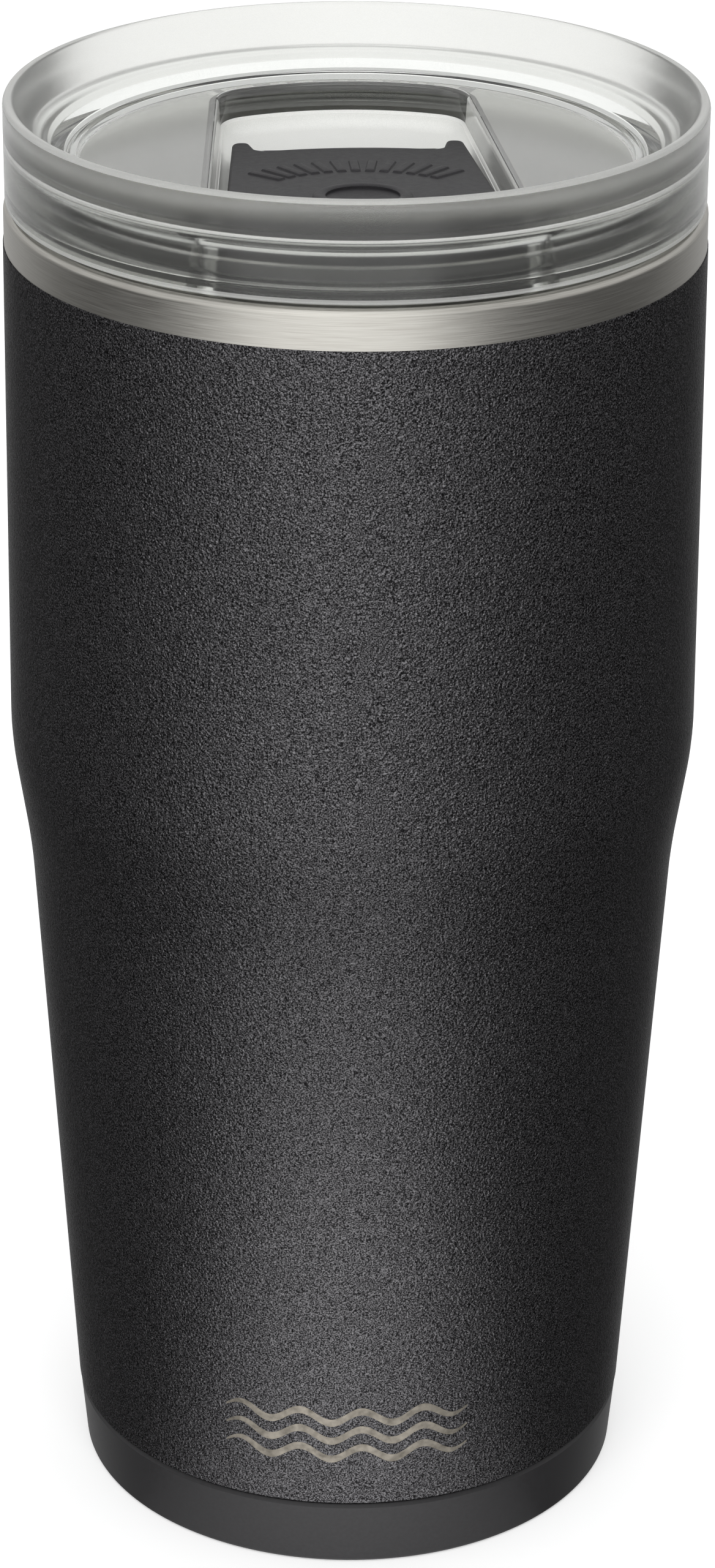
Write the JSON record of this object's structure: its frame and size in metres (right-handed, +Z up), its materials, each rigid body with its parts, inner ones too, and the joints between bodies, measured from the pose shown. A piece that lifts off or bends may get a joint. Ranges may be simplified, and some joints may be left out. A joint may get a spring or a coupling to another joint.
{
  "type": "insulated tumbler with lid",
  "caption": "Tapered double-wall vacuum tumbler with a soft base boot and a clear press-in lid whose slider uncovers a drink opening.",
  "frame": {"origin": "centre of the base, on the surface the tumbler stands on", "axes": "+Z up along the cup's axis; the drinking side of the lid faces -Y, and the slider opens towards +Y"},
  "size_m": [0.0898, 0.0898, 0.1927],
  "materials": {
    "powder_coat": "fine pebbled charcoal powder coat over steel, with a bare brushed band at the rim",
    "liner_steel": "spun and electropolished steel",
    "pressed_steel": "pressed steel",
    "glass_bead": "fused glass bead",
    "getter_metal": "pressed grey metal powder",
    "boot_silicone": "smooth matte charcoal silicone",
    "lid_plastic": "clear plastic, frosted on the outer wall and funnel",
    "skirt_plastic": "clear plastic, lightly frosted",
    "gasket_silicone": "translucent grey silicone",
    "slider_plastic": "fine matte charcoal plastic"
  },
  "bodies": {
    "cup": {"outer_shell": "powder_coat", "inner_liner": "liner_steel", "base_plate": "pressed_steel", "vacuum_seal": "glass_bead", "getter_holder": "pressed_steel", "getter_pellet": "getter_metal", "base_boot": "boot_silicone"},
    "lid": {"lid_body": "lid_plastic", "lid_skirt": "skirt_plastic", "lid_gasket": "gasket_silicone"},
    "slider": {"slider": "slider_plastic", "slider_seal": "gasket_silicone"}
  },
  "joints": [
    {"name": "lid_lift", "type": "slide", "parent": "cup", "child": "lid", "axis": [0, 0, 1], "range_m": [0, 0.06]},
    {"name": "slider_open", "type": "slide", "parent": "lid", "child": "slider", "axis": [0, 1, 0], "range_m": [0, 0.01]}
  ]
}
